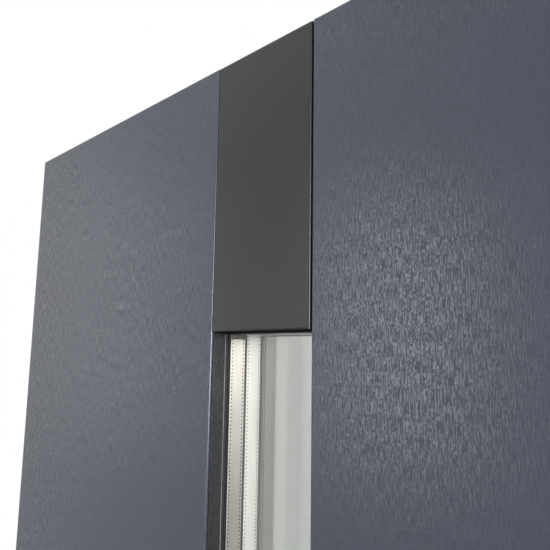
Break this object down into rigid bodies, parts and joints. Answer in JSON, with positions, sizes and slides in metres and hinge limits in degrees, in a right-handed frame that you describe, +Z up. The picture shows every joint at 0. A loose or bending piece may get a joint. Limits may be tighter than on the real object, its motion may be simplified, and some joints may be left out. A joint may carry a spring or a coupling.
{
  "type": "entrance door block with a glazed strip",
  "caption": "Insulated steel entrance door in its frame: grain-faced panels, a narrow tall glazed recess between folded metal plates, lever handles and barrel hinges.",
  "frame": {"origin": "middle of the threshold's underside, on the wall plane behind the frame's flange", "axes": "+X to the right seen from outside, +Y into the building, +Z up"},
  "size_m": [1.01, 0.214, 2.075],
  "materials": {
    "frame_paint": "matt dark grey powder coat",
    "sill_aluminium": "mill finish",
    "bright_steel": "brushed",
    "seal_rubber": "matt black",
    "black_metal": "satin black",
    "leaf_paint": "matt dark grey powder coat",
    "break_plastic": "matt black",
    "grain_panel": "embossed wood-grain film, anthracite, satin",
    "plate_paint": "matt charcoal",
    "lining_film": "embossed black film",
    "clear_glass": "clear",
    "spacer_metal": "matt, with fine perforations",
    "bead_plastic": "pale grey"
  },
  "bodies": {
    "frame": {"hinge_jamb": "frame_paint", "lock_jamb": "frame_paint", "frame_head": "frame_paint", "threshold": "sill_aluminium", "threshold_cover": "bright_steel", "flange_seal": "seal_rubber", "stop_seal": "seal_rubber", "strike_plate": "bright_steel", "hinge_frame_knuckles": "black_metal", "hinge_pins": "black_metal"},
    "leaf": {"outer_tray": "leaf_paint", "thermal_break": "break_plastic", "inner_tray": "leaf_paint", "outer_panel_left": "grain_panel", "outer_panel_right": "grain_panel", "outer_plate_top": "plate_paint", "outer_plate_bottom": "plate_paint", "window_lining": "lining_film", "outer_gasket": "seal_rubber", "outer_pane": "clear_glass", "outer_spacer": "spacer_metal", "middle_pane": "clear_glass", "inner_spacer": "spacer_metal", "inner_pane": "clear_glass", "edge_sealant": "seal_rubber", "setting_blocks": "break_plastic", "inner_gasket": "seal_rubber", "inner_bead": "bead_plastic", "inner_panel_left": "grain_panel", "inner_panel_right": "grain_panel", "inner_plate_top": "plate_paint", "inner_plate_bottom": "plate_paint", "lock_faceplate": "bright_steel", "lock_bolts": "bright_steel", "outer_handle_plate": "black_metal", "outer_lever": "black_metal", "lock_cylinder": "bright_steel", "inner_handle_plate": "black_metal", "inner_lever": "black_metal", "thumbturn": "bright_steel", "hinge_leaf_knuckles": "black_metal"}
  },
  "joints": [
    {"name": "leaf_swing", "type": "hinge", "parent": "frame", "child": "leaf", "pos_m": [0.489, -0.03, 1.0275], "axis": [0, 0, 1], "range_deg": [0, 110]}
  ]
}
